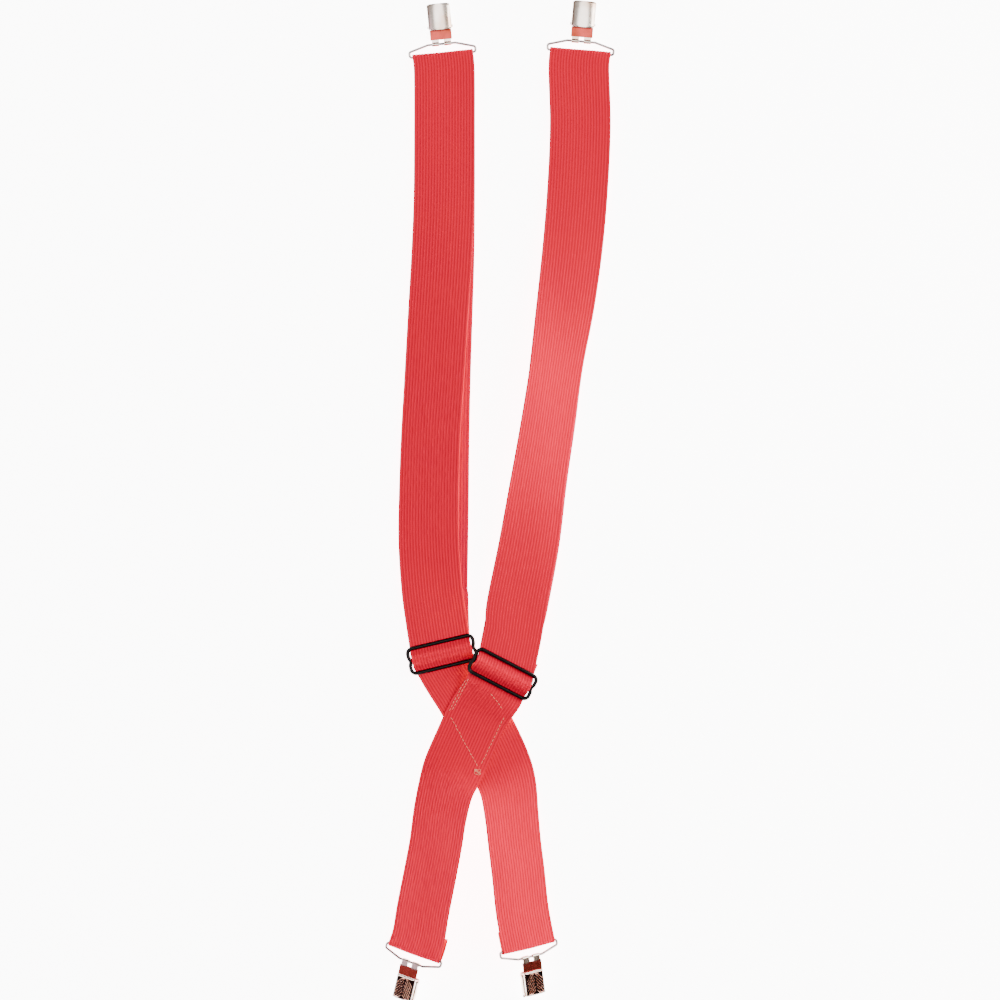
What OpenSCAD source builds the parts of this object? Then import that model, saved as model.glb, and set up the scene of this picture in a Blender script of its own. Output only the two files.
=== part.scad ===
// Wide X-back suspenders, laid out flat on a table with the two front clips at +Y.
// +Z is up and Z = 0 is the table. The origin is under the middle of the laid-out shape.

/* [Webbing] */
// Width of the elastic webbing
web_w = 50; // [48:0.5:50.5]
// Thickness of the elastic webbing
web_t = 1.4; // [1.2:0.1:1.5]
// Length of the sewn-back tail at each back clip
tail_len = 18; // [15:1:35]

/* [Bails] */
// Wire diameter of the bails
bail_wire = 2; // [1.6:0.1:2]
// Distance between the two end wires of a bail, centre to centre
bail_w = 54.4; // [54:0.2:58]
// Distance from a bail's strap bar to its clip bar
bail_h = 9; // [8:0.5:10]

/* [Adjusters] */
// Wire diameter of the adjuster frames
slide_wire = 3.2; // [2.8:0.1:3.2]
// Outer length of the adjuster frames, along their bars
slide_len = 58; // [57.8:0.1:60]
// Distance between the two outer bars, centre to centre
slide_gap = 20.6; // [20:0.2:24]

/* [Clips] */
// Width of the clip levers
lever_w = 19.5; // [19.5:0.1:20.5]
// Length of the clip levers
lever_len = 21.5; // [20:0.5:22]
// Thickness of the sheet metal
sheet_t = 0.7; // [0.6:0.1:0.8]
// Pitch of the slanting grip ridges on the jaw plates
ridge_pitch = 2.7; // [2:0.1:3]

/* [Hidden] */
fit = 0.06;
bar_r = bail_wire / 2;
roll_r = bar_r + fit;
fold_r = roll_r + web_t;
layer_z = roll_r + web_t / 2;

// Clip layout, measured from the axis of the bail's clip bar
tab_w = 6;
tab_gap = 4;
base_w = 17.8;
base_len = 31.5;
base_z = -(roll_r + sheet_t);
pin_y = 14;
pin_z = 2.2;
pin_r = 0.8;
lever_y = 11.5;
dome_r = 30;
dome_top = 6;
jaw_w = 16;
jaw_y = 13;
jaw_len = 18;
ridge_h = 0.35;

// Adjuster layout
slide_half = (slide_len - slide_wire) / 2;
centre_bar_r = 1.3;
loop_r = centre_bar_r + fit + web_t;
corner_r = 4;
waist_in = 1.2;
weave_low = slide_wire / 2 + web_t / 2 + 0.15;
weave_high = loop_r + web_t / 2 + 0.15;
weave_w = 48;
weave_end = 16;
hem_len = 30;
slack_len = 14;
split = 0.3;
seam = 0.1;
weld = 0.5;

// From the layout's own zero to the middle of the laid-out shape
origin = [-0.07, -3.18, -0.72];

// Ends: [x, y, z of the strap bar, heading, roll, clip pitch, clip lies face down]
front_left_end = [-47, 364, 2.95, 5.5, 0, 0, 0];
front_right_end = [66, 366, 2.95, -5, 0, 0, 0];
back_left_end = [-70, -372, 15.3, 162.5, 30, -8, 1];
back_right_end = [23, -367, 15.3, 191.5, -30, -8, 1];

// Adjusters: [x, y, z of the centre bar, heading, roll, skew above, skew below, skew of the hem]
left_slide = [-47.6, -128.4, 6.5, 13.4, 0, 0.08, -0.3, 0.2];
right_slide = [2.2, -144.3, 11.6, -27.6, 8, -0.28, -0.05, -0.3];

// Unit vectors of a frame with a heading about Z and a roll about its own Y
function across(f) = [cos(f[3]) * cos(f[4]), sin(f[3]) * cos(f[4]), -sin(f[4])];
function along(f) = [-sin(f[3]), cos(f[3]), 0];
function above(f) = cross(across(f), along(f));
function place(f, p) = [f[0], f[1], f[2]] + p[0] * across(f) + p[1] * along(f) + p[2] * above(f);

// Route points: [x, y, z, roll, width]
function end_point(f, y, z, w) = concat(place(f, [0, y, z]), [-f[4], w]);
left_front_route = [
    [-56, -74, 5, 2, 49], [-58.5, -37, 6, 6, web_w], [-58.5, 0, 8, 11, web_w],
    [-57, 49, 9, 13, web_w], [-54, 98, 8, 11, web_w], [-51, 148, 7, 8, web_w],
    [-48, 197, 5.5, 4, web_w], [-46, 246, 5, 2, web_w], [-45.5, 307, 4.6, 0, web_w]];
left_return_route = [
    [-51.5, -74, 1.5, 0.2, 49], [-51, -37, 1.7, 0.5, web_w], [-50.5, 0, 1.8, 0.8, web_w],
    [-50, 49, 1.9, 1, web_w], [-49, 98, 1.8, 0.8, web_w], [-47.5, 148, 1.7, 0.6, web_w],
    [-46, 197, 1.6, 0.4, web_w], [-45.5, 246, 1.5, 0.2, web_w], [-45.5, 307, 1.3, 0, web_w]];
right_front_route = [
    [14, -86, 11.2, -8, 49], [23.5, -37, 11, -14, web_w], [31, 12, 15, -25, web_w],
    [39, 62, 17.3, -30, web_w], [46.5, 111, 17.3, -30, web_w], [54, 160, 13, -18, web_w],
    [60, 209, 8, -8, web_w], [64, 258, 5.4, -2, web_w], [66, 307, 4.8, 0, web_w]];
right_return_route = [
    [15, -86, 7.8, -8, 49], [24.5, -37, 7.8, -13, web_w], [32, 12, 11.8, -24, web_w],
    [40, 62, 14, -29, web_w], [46.5, 111, 14, -29, web_w], [54, 160, 9.7, -17, web_w],
    [60, 209, 4.8, -8, web_w], [64, 258, 2.2, -2, web_w], [66, 307, 1.5, 0, web_w]];
left_cross_route = [
    [-29.5, -160, 1.4, 0, web_w], [-19, -179, 0.9, 0, web_w], [-8, -200, 0.9, 0, web_w],
    [0, -218, 1.2, 2, web_w], [6.5, -237, 8.8, 20, web_w], [9.5, -259, 13, 28, web_w],
    [12, -283, 14.4, 30, web_w], [15, -307, 14.8, 30, web_w], [18, -335, 15.8, 30, web_w]];
right_cross_route = [
    [-12.5, -169, 5.4, 2, web_w], [-19, -179, 2.9, 0, web_w], [-29, -201, 2.3, 0, web_w],
    [-37, -219, 3.6, -4, web_w], [-44, -237, 10.8, -23, web_w], [-49, -259, 13.2, -28, web_w],
    [-52.5, -283, 14.4, -30, web_w], [-57, -307, 14.8, -30, web_w], [-63, -337, 15.8, -30, web_w]];
rings_per_span = 5;

function unit(v) = v / norm(v);

// A smooth curve through all the points of a route
function spline(p, i, t) =
    let (a = p[max(i - 1, 0)], b = p[i], c = p[i + 1], d = p[min(i + 2, len(p) - 1)])
    0.5 * (2 * b + (c - a) * t + (2 * a - 5 * b + 4 * c - d) * t ^ 2 + (3 * b - a - 3 * c + d) * t ^ 3);
function smooth(p, n = rings_per_span) =
    concat([for (i = [0 : len(p) - 2], k = [0 : n - 1]) spline(p, i, k / n)], [p[len(p) - 1]]);

function head3(v) = [v[0], v[1], v[2]];
function direction(r, i) = unit(head3(r[min(i + 1, len(r) - 1)]) - head3(r[max(i - 1, 0)]));
function side_of(t, roll) = unit(cross(t, [0, 0, 1])) * cos(roll) + [0, 0, sin(roll)];

// A band's cross section: its under side from edge to edge, then its top side back again
columns = 4;
function band_ring(c, s, n, w, half = web_t / 2) = concat(
    [for (k = [0 : columns]) c + s * w * (k / columns - 0.5) - n * half],
    [for (k = [columns : -1 : 0]) c + s * w * (k / columns - 0.5) + n * half]);

// A closed skin over a list of rings with the same number of points. The quads of both halves of
// a ring are split along the same diagonal, so that a twisted band keeps its thickness.
module skin(rings, lift = origin) {
    m = len(rings[0]);
    last = len(rings) - 1;
    polyhedron(
        points = [for (r = rings, p = r) p - lift],
        faces = concat(
            [for (i = [0 : last - 1], j = [0 : m - 1], half = [0, 1])
                let (a = i * m + j, b = i * m + (j + 1) % m, c = a + m, d = b + m)
                j < m / 2 ? (half == 0 ? [a, b, c] : [c, b, d]) : (half == 0 ? [a, b, d] : [a, d, c])],
            [for (k = [0 : m / 2 - 2]) [m - 1 - k, m - 2 - k, k + 1, k]],
            [for (k = [0 : m / 2 - 2]) [k, k + 1, m - 2 - k, m - 1 - k] + last * m * [1, 1, 1, 1]]),
        convexity = 8);
}

// A flat band swept along a route; its two end edges lie along first_side and last_side
module band(route, first_side, last_side) {
    r = smooth(route);
    last = len(r) - 1;
    skin([for (i = [0 : last])
        let (
            t = direction(r, i),
            own = side_of(t, r[i][3]),
            k = min(i / rings_per_span, 1),
            e = min((last - i) / rings_per_span, 1),
            s = unit(unit(own * k + first_side * (1 - k)) * e + last_side * (1 - e)),
            n = unit(cross(s, t)))
        band_ring(head3(r[i]), s, n, r[i][4])]);
}

// Where the webbing lies at a distance y from an adjuster's centre bar, straight between its bars
function skew(f, y) = max(abs(y) - 6, 0) * (y > 0 ? f[5] : -f[6]);
function weave_z(y) =
    abs(y) > slide_gap / 2 ? -weave_low
    : (weave_high - weave_low) / 2 + (weave_high + weave_low) / 2 * cos(180 * y / (slide_gap / 2));
function weave_point(f, y) = concat(place(f, [skew(f, y), y, weave_z(y)]), [f[3] > 0 ? 0 : -f[4], weave_w]);
hem_z = -weave_low - web_t * 1.5 - 0.2;
function under(f) = [f[0], f[1], f[2], f[3], f[4], f[7], f[6]];
function hem_point(f, y) = concat(place(f, [skew(under(f), y), y, hem_z]), [f[3] > 0 ? 0 : -f[4], weave_w]);

// A stretch of webbing at an adjuster, from y0 to y1, at the height that level(y) gives
module stretch(f, y0, y1, n, level) {
    step = 0.2;
    skin([for (k = [0 : n])
        let (
            y = y0 + (y1 - y0) * k / n,
            d = unit(place(f, [skew(f, y + step), y + step, level(y + step)])
                - place(f, [skew(f, y - step), y - step, level(y - step)])),
            s = across(f))
        band_ring(place(f, [skew(f, y), y, level(y)]), s, unit(cross(s, d)), weave_w)]);
}

// Moves children into a frame given by its position, heading and roll
module at(f) {
    translate([f[0], f[1], f[2]] - origin) rotate([0, 0, f[3]]) rotate([0, f[4], 0]) children();
}

// Moves children to a clip: its origin is the axis of the bail's clip bar
module at_clip(f) {
    at(f) translate([0, bail_h, 0]) rotate([f[5], 0, 0]) rotate([0, 180 * f[6], 0]) children();
}

// A cylinder along X, centred
module rod(r, length) {
    rotate([0, 90, 0]) cylinder(r = r, h = length, center = true, $fn = 48);
}

// An open path in the XY plane through points [x, y, bend radius], with its corners rounded
function turn(p, i) =
    let (u = [p[i][0] - p[i - 1][0], p[i][1] - p[i - 1][1]], v = [p[i + 1][0] - p[i][0], p[i + 1][1] - p[i][1]])
    atan2(u[0] * v[1] - u[1] * v[0], u * v);
function rounded(p, n = 5) = concat(
    [[p[0][0], p[0][1]]],
    [for (i = [1 : len(p) - 2], k = [0 : n])
        let (
            angle = turn(p, i),
            left = angle > 0 ? 1 : -1,
            u = unit([p[i][0] - p[i - 1][0], p[i][1] - p[i - 1][1]]),
            start = [p[i][0], p[i][1]] - u * p[i][2] * tan(abs(angle) / 2),
            centre = start + left * p[i][2] * [-u[1], u[0]],
            d = start - centre,
            c = cos(angle * k / n),
            s = sin(angle * k / n))
        centre + [d[0] * c - d[1] * s, d[0] * s + d[1] * c]],
    [[p[len(p) - 1][0], p[len(p) - 1][1]]]);

// Round wire swept along such a path
module bent_wire(p, r, sides = 12) {
    q = rounded(p);
    skin(lift = [0, 0, 0], rings = [for (i = [0 : len(q) - 1])
        let (t = unit(q[min(i + 1, len(q) - 1)] - q[max(i - 1, 0)]), m = [t[1], -t[0], 0])
        [for (k = [0 : sides - 1])
            let (a = 360 * (k + 0.5) / sides) [q[i][0], q[i][1], 0] + r * (cos(a) * m + sin(a) * [0, 0, 1])]]);
}

// Bail: strap bar, short end wires, slanting arms and the clip bar
module bail(f) {
    half = bail_w / 2;
    shoulder = bail_h * 0.5;
    neck = 11.5;
    bend = 1.8;
    lap = 0.5;
    core = bar_r * 0.985;
    color("silver") at(f) {
        rod(bar_r, 2 * (half - bend));
        translate([0, bail_h, 0]) rod(bar_r, 2 * (neck - bend));
        for (side = [0, 1]) mirror([side, 0, 0])
            bent_wire([[half - bend - lap, 0], [half, 0, bend], [half, shoulder, bend],
                [neck, bail_h, bend], [neck - bend - lap, bail_h]], core);
    }
}

// Clip base: two rolled tabs on the bail, the plate and two ears for the hinge pin
module clip_base(f) {
    ear_x = base_w / 2 - sheet_t / 2;
    color("silver") at_clip(f) difference() {
        union() {
            for (side = [-1, 1]) {
                translate([side * (tab_w + tab_gap) / 2, 0, 0]) rod(roll_r + sheet_t, tab_w);
                translate([side * ear_x - sheet_t / 2, pin_y - 1.3, base_z])
                    cube([sheet_t, 13, pin_z - base_z]);
                translate([side * ear_x - sheet_t / 2, pin_y, base_z]) cube([sheet_t, 10, 3.2 - base_z]);
                translate([side * ear_x, pin_y, pin_z]) rod(1.3, sheet_t);
                translate([side * (tab_w + tab_gap) / 2 - tab_w / 2, 0, base_z]) cube([tab_w, 4, sheet_t]);
            }
            translate([-base_w / 2, 3.5, base_z]) cube([base_w, base_len - 3.5, sheet_t]);
            translate([-base_w / 2 + 1.5, base_len - 1.4, base_z]) cube([base_w - 3, 1, 1.2]);
        }
        rod(roll_r, base_w + 2);
        translate([0, pin_y, pin_z]) rod(pin_r + fit, base_w + 2);
    }
}

// Jaw plate: the ribbed back plate with a rounded shoulder bead
module jaw_plate(f) {
    low = base_z - 0.1;
    color("dimgray") at_clip(f) {
        translate([-jaw_w / 2, jaw_y, low - sheet_t]) cube([jaw_w, jaw_len, sheet_t]);
        translate([0, jaw_y - 0.6, low - 0.9]) rod(0.9, jaw_w);
        intersection() {
            translate([-jaw_w / 2 + 0.4, jaw_y + 1.2, low - sheet_t - ridge_h])
                cube([jaw_w - 0.8, jaw_len - 2.4, sheet_t]);
            for (side = [-1, 1], k = [-5 : 8])
                translate([side * jaw_w / 4, jaw_y + k * ridge_pitch + jaw_len / 4, low - sheet_t - ridge_h])
                    rotate([0, 0, -50]) translate([-7, -0.45, 0]) cube([14, 0.9, sheet_t]);
        }
    }
}

// Hinge pin between the clip's ears and the lever's flanges
module hinge_pin(f) {
    color("silver") at_clip(f) translate([0, pin_y, pin_z]) {
        rod(pin_r, lever_w + 0.6);
        for (side = [-1, 1]) translate([side * (lever_w / 2 + 0.3), 0, 0]) rod(1.2, 0.5);
    }
}

// Lever: arched plate, two side flanges on the hinge pin and a toothed jaw at the mouth
module lever(f) {
    flange_x = lever_w / 2 - sheet_t / 2;
    jaw_low = base_z + sheet_t + 0.3;
    end_y = lever_y + lever_len;
    color("silver") at_clip(f) difference() {
        union() {
            intersection() {
                translate([0, end_y, dome_top - dome_r]) rotate([90, 0, 0]) difference() {
                    cylinder(r = dome_r, h = lever_len, $fn = 96);
                    translate([0, 0, -1]) cylinder(r = dome_r - sheet_t, h = lever_len + 2, $fn = 96);
                }
                translate([-lever_w / 2, lever_y, 0]) cube([lever_w, lever_len, dome_top + 1]);
            }
            for (side = [-1, 1]) {
                translate([side * flange_x - sheet_t / 2, pin_y, 1]) cube([sheet_t, 15, 3.2]);
                translate([side * flange_x, pin_y, pin_z]) rod(1.5, sheet_t);
                translate([side * flange_x - sheet_t / 2, pin_y - 1.5, pin_z]) cube([sheet_t, 3, 2]);
            }
            translate([-lever_w / 2 + 2, end_y - 1.6, jaw_low + 1])
                cube([lever_w - 4, sheet_t, dome_top - 2 - jaw_low]);
            for (k = [-3 : 3]) translate([k * 2 - 0.6, end_y - 1.6, jaw_low]) cube([1.2, sheet_t, 1.5]);
        }
        translate([0, pin_y, pin_z]) rod(pin_r + fit, lever_w + 2);
    }
}

// Adjuster frame: two straight bars joined by end wires with rounded corners and a pinched waist
module slide_frame(f) {
    y = slide_gap / 2;
    x = slide_half;
    in_x = x - waist_in;
    lap = 0.5;
    core = slide_wire / 2 * 0.985;
    start_x = x - corner_r - lap;
    color([0.05, 0.04, 0.05]) at(f) {
        for (side = [-1, 1]) translate([0, side * y, 0]) rod(slide_wire / 2, 2 * (x - corner_r));
        for (side = [0, 1]) mirror([side, 0, 0])
            bent_wire([[start_x, -y], [x, -y, corner_r], [x, -3.4, 2], [in_x, 0, 2], [x, 3.4, 2],
                [x, y, corner_r], [start_x, y]], core);
    }
}

// Adjuster centre bar, welded between the two waists
module slide_bar(f) {
    color([0.05, 0.04, 0.05]) at(f) rod(centre_bar_r, 2 * (slide_half - waist_in - slide_wire / 2 + weld));
}

// The webbing's end, sewn round the centre bar and back on itself
module sewn_loop(f) {
    loop_w = weave_w - 0.6;
    hem_w = loop_w - 0.6;
    ramp_y = 8;
    color([0.9, 0.15, 0.28]) {
        at(f) difference() {
            rod(loop_r, loop_w);
            rod(centre_bar_r + fit, loop_w + 2);
            translate([-loop_w, 0, 0]) cube([2 * loop_w, 5, 5]);
        }
        skin([for (p = [[0.3, web_t / 2, -loop_r + web_t / 2], [2.4, web_t / 2, -loop_r + web_t / 2 - 0.3],
                [ramp_y, web_t, hem_z], [hem_len, web_t, hem_z]])
            band_ring(place(f, [skew(under(f), p[0]), p[0], p[2]]), across(f), above(f), hem_w, p[1])]);
    }
}

// Half a tube of webbing round a bail's strap bar
module fold(f) {
    color([0.93, 0.3, 0.27]) at(f) difference() {
        rod(fold_r, web_w);
        rod(roll_r, web_w + 2);
        translate([-web_w, -2 * fold_r, -fold_r - 1]) cube([2 * web_w, 2 * fold_r, 2 * fold_r + 2]);
    }
}

// The sewn-back end of the webbing behind a back clip's fold
module tail(f) {
    color([0.9, 0.12, 0.27]) at(f)
        translate([-web_w / 2, -tail_len, -layer_z - web_t / 2]) cube([web_w, tail_len, web_t]);
}

// A route's last points, in front of (z above 0) or behind an end's strap bar
function to_end(end, z) = [end_point(end, -14, z, web_w), end_point(end, -seam, z, web_w)];

// Lower webbing: from its adjuster over the cross to its back clip
module lower_webbing(slide, end, route) {
    color([0.92, 0.2, 0.3]) band(
        concat([weave_point(slide, -weave_end - 2 * split)], route, to_end(end, layer_z)),
        -across(slide), across(end));
}

// Front layer: from its adjuster to its front clip
module front_webbing(slide, end, route) {
    color([0.93, 0.24, 0.3]) band(
        concat([weave_point(slide, weave_end + slack_len)], route, to_end(end, layer_z)),
        across(slide), across(end));
}

// Return layer: from its front clip back to the sewn loop, behind the front layer
module return_webbing(slide, end, route) {
    color([0.8, 0.1, 0.25]) band(
        concat([hem_point(slide, hem_len + slack_len)], route, to_end(end, -layer_z)),
        across(slide), across(end));
}

// The short stretches that take up the slack between an adjuster and its front webbing
module front_slack(slide) {
    color([0.93, 0.24, 0.3])
        stretch(slide, weave_end, weave_end + slack_len - split, 2, function (y) -weave_low);
}
module return_slack(slide) {
    color([0.8, 0.1, 0.25])
        stretch(under(slide), hem_len, hem_len + slack_len - split, 2, function (y) hem_z);
}

// The webbing's wave under, over and under an adjuster's three bars
module woven(slide) {
    color([0.93, 0.24, 0.3]) stretch(slide, -weave_end, weave_end, 24, function (y) weave_z(y));
}

// The diamond of stitches that joins the two straps where they cross
module cross_stitching() {
    corners = [[-42, -176], [-17, -222], [3, -176], [-19, -140]];
    color([1, 0.6, 0.5])
        for (k = [0 : 1]) {
            a = corners[k];
            b = corners[k + 1];
            d = b - a;
            n = floor(norm(d) / 4);
            for (i = [1 : n - 1])
                translate([a[0] + d[0] * i / n, a[1] + d[1] * i / n, 3.2] - origin)
                    rotate([0, 0, atan2(d[1], d[0])]) cube([2.6, 0.5, 0.5], center = true);
        }
}

lower_webbing(left_slide, back_right_end, left_cross_route);  // left_lower_webbing
lower_webbing(right_slide, back_left_end, right_cross_route);  // right_lower_webbing
front_webbing(left_slide, front_left_end, left_front_route);  // left_front_webbing
front_webbing(right_slide, front_right_end, right_front_route);  // right_front_webbing
return_webbing(left_slide, front_left_end, left_return_route);  // left_return_webbing
return_webbing(right_slide, front_right_end, right_return_route);  // right_return_webbing
front_slack(left_slide);  // left_front_slack
front_slack(right_slide);  // right_front_slack
return_slack(left_slide);  // left_return_slack
return_slack(right_slide);  // right_return_slack
woven(left_slide);  // left_woven_webbing
woven(right_slide);  // right_woven_webbing
sewn_loop(left_slide);  // left_sewn_loop
sewn_loop(right_slide);  // right_sewn_loop
slide_frame(left_slide);  // left_adjuster_frame
slide_frame(right_slide);  // right_adjuster_frame
slide_bar(left_slide);  // left_adjuster_bar
slide_bar(right_slide);  // right_adjuster_bar
cross_stitching();
fold(front_left_end);  // front_left_fold
fold(front_right_end);  // front_right_fold
fold(back_left_end);  // back_left_fold
fold(back_right_end);  // back_right_fold
tail(back_left_end);  // back_left_tail
tail(back_right_end);  // back_right_tail
bail(front_left_end);  // front_left_bail
bail(front_right_end);  // front_right_bail
bail(back_left_end);  // back_left_bail
bail(back_right_end);  // back_right_bail
clip_base(front_left_end);  // front_left_clip_base
clip_base(front_right_end);  // front_right_clip_base
clip_base(back_left_end);  // back_left_clip_base
clip_base(back_right_end);  // back_right_clip_base
jaw_plate(front_left_end);  // front_left_jaw_plate
jaw_plate(front_right_end);  // front_right_jaw_plate
jaw_plate(back_left_end);  // back_left_jaw_plate
jaw_plate(back_right_end);  // back_right_jaw_plate
hinge_pin(front_left_end);  // front_left_hinge_pin
hinge_pin(front_right_end);  // front_right_hinge_pin
hinge_pin(back_left_end);  // back_left_hinge_pin
hinge_pin(back_right_end);  // back_right_hinge_pin
lever(front_left_end);  // front_left_lever
lever(front_right_end);  // front_right_lever
lever(back_left_end);  // back_left_lever
lever(back_right_end);  // back_right_lever
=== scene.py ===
import math
import random

import bpy
import numpy as np
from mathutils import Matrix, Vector
from mathutils.bvhtree import BVHTree


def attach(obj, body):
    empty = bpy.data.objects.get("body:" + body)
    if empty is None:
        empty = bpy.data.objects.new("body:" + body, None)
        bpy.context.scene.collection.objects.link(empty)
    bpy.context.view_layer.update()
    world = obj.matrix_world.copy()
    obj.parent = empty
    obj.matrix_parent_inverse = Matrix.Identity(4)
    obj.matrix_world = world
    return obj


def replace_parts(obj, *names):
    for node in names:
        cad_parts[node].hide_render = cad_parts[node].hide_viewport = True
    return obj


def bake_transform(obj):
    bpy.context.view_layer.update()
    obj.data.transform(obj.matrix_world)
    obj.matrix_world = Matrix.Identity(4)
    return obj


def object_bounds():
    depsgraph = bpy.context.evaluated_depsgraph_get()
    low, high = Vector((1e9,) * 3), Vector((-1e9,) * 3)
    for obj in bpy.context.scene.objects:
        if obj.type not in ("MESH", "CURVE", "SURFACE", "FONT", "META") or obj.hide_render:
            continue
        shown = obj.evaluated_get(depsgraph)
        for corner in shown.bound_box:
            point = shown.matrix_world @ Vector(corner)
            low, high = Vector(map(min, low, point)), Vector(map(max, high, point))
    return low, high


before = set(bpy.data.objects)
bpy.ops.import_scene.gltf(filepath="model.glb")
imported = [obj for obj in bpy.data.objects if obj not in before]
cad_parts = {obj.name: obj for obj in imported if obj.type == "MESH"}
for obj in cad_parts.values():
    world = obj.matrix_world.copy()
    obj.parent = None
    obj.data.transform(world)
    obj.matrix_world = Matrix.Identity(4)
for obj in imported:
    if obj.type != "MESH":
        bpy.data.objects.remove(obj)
CAD_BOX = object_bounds()
random.seed(7)

# Everything below is in metres, in the CAD model's frame.
MM = 0.001
ORIGIN = np.array([-0.07, -3.18, -0.72]) * MM
WEB_W = 50 * MM
WEB_T = 1.4 * MM
BAIL_R = 1.0 * MM
BAIL_W = 54.4 * MM
BAIL_H = 9 * MM
SLIDE_R = 1.6 * MM
SLIDE_HALF = 27.4 * MM
SLIDE_GAP = 20.6 * MM
LOOP_R = 2.06 * MM
LAYER_Z = 1.76 * MM
WEAVE_LOW = 2.45 * MM
WEAVE_HIGH = 3.61 * MM
WEAVE_W = 50.4 * MM
WEAVE_END = 16 * MM
HEM_Z = -4.75 * MM
HEM_LEN = 30 * MM
SLACK_LEN = 14 * MM
TAIL_LEN = 18 * MM
RIBS = 21


# ---------------------------------------------------------------- camera, light and floor

def look_down(x, y, distance, covered):
    camera = bpy.data.objects.new("camera", bpy.data.cameras.new("camera"))
    camera.location = (x, y, distance)
    camera.data.sensor_width = 36
    camera.data.lens = 36 * distance / covered
    bpy.context.collection.objects.link(camera)
    bpy.context.scene.camera = camera


look_down(0.0001, 0.0015, 5.0, 0.822)


def softbox(name, place, target, size, power, colour):
    light = bpy.data.objects.new(name, bpy.data.lights.new(name, "AREA"))
    light.data.shape = "RECTANGLE"
    light.data.size, light.data.size_y = size
    light.data.energy = power
    light.data.color = colour
    light.location = place
    light.rotation_euler = (Vector(target) - Vector(place)).to_track_quat("-Z", "Y").to_euler()
    bpy.context.collection.objects.link(light)


def studio():
    softbox("key", (1.7, 0.4, 1.3), (0, 0, 0), (1.0, 1.8), 58, (1.0, 0.93, 0.86))
    softbox("fill", (-1.5, -0.3, 1.4), (0, 0, 0), (1.4, 1.8), 6, (1.0, 0.7, 0.85))
    world = bpy.data.worlds.new("studio")
    bpy.context.scene.world = world
    world.use_nodes = True
    tree = world.node_tree
    back = tree.nodes["Background"]
    coord = tree.nodes.new("ShaderNodeTexCoord")
    split = tree.nodes.new("ShaderNodeSeparateXYZ")
    ramp = tree.nodes.new("ShaderNodeValToRGB")
    stops = ramp.color_ramp.elements
    stops[0].position, stops[0].color = 0.0, (0.03, 0.02, 0.02, 1)
    stops[1].position, stops[1].color = 0.968, (9.0, 8.7, 8.4, 1)
    for position, colour in ((0.35, (0.05, 0.035, 0.03, 1)), (0.62, (0.7, 0.5, 0.38, 1)),
                             (0.86, (0.9, 0.82, 0.74, 1)), (0.95, (1.3, 1.2, 1.1, 1))):
        stops.new(position).color = colour
    tree.links.new(coord.outputs["Generated"], split.inputs[0])
    tree.links.new(split.outputs["Z"], ramp.inputs[0])
    tree.links.new(ramp.outputs[0], back.inputs[0])
    back.inputs[1].default_value = 0.5


studio()


# ---------------------------------------------------------------- materials

def new_material(name, **values):
    material = bpy.data.materials.new(name)
    material.use_nodes = True
    shader = material.node_tree.nodes["Principled BSDF"]
    for key, value in values.items():
        shader.inputs[key.replace("_", " ")].default_value = value
    return material, material.node_tree, shader


def node(tree, kind, inputs=(), **settings):
    made = tree.nodes.new("ShaderNode" + kind)
    for key, value in settings.items():
        setattr(made, key, value)
    for key, value in dict(inputs).items():
        if hasattr(value, "is_output"):
            tree.links.new(value, made.inputs[key])
        else:
            made.inputs[key].default_value = value
    return made


def math_node(tree, operation, a, b=0.0):
    return node(tree, "Math", {0: a, 1: b}, operation=operation).outputs[0]


def mix_colour(tree, factor, a, b, blend="MIX"):
    made = node(tree, "Mix", {"Factor": factor}, data_type="RGBA", blend_type=blend)
    for socket, value in ((made.inputs[6], a), (made.inputs[7], b)):
        if hasattr(value, "is_output"):
            tree.links.new(value, socket)
        else:
            socket.default_value = value
    return made.outputs[2]


def bumps(tree, shader, layers):
    last = None
    for height, strength, distance in layers:
        made = node(tree, "Bump", {"Height": height, "Strength": strength, "Distance": distance})
        if last:
            tree.links.new(last, made.inputs["Normal"])
        last = made.outputs[0]
    tree.links.new(last, shader.inputs["Normal"])


def noise(tree, vector, scale, detail=3.0):
    return node(tree, "TexNoise", {"Vector": vector, "Scale": scale, "Detail": detail}).outputs[0]


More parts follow.
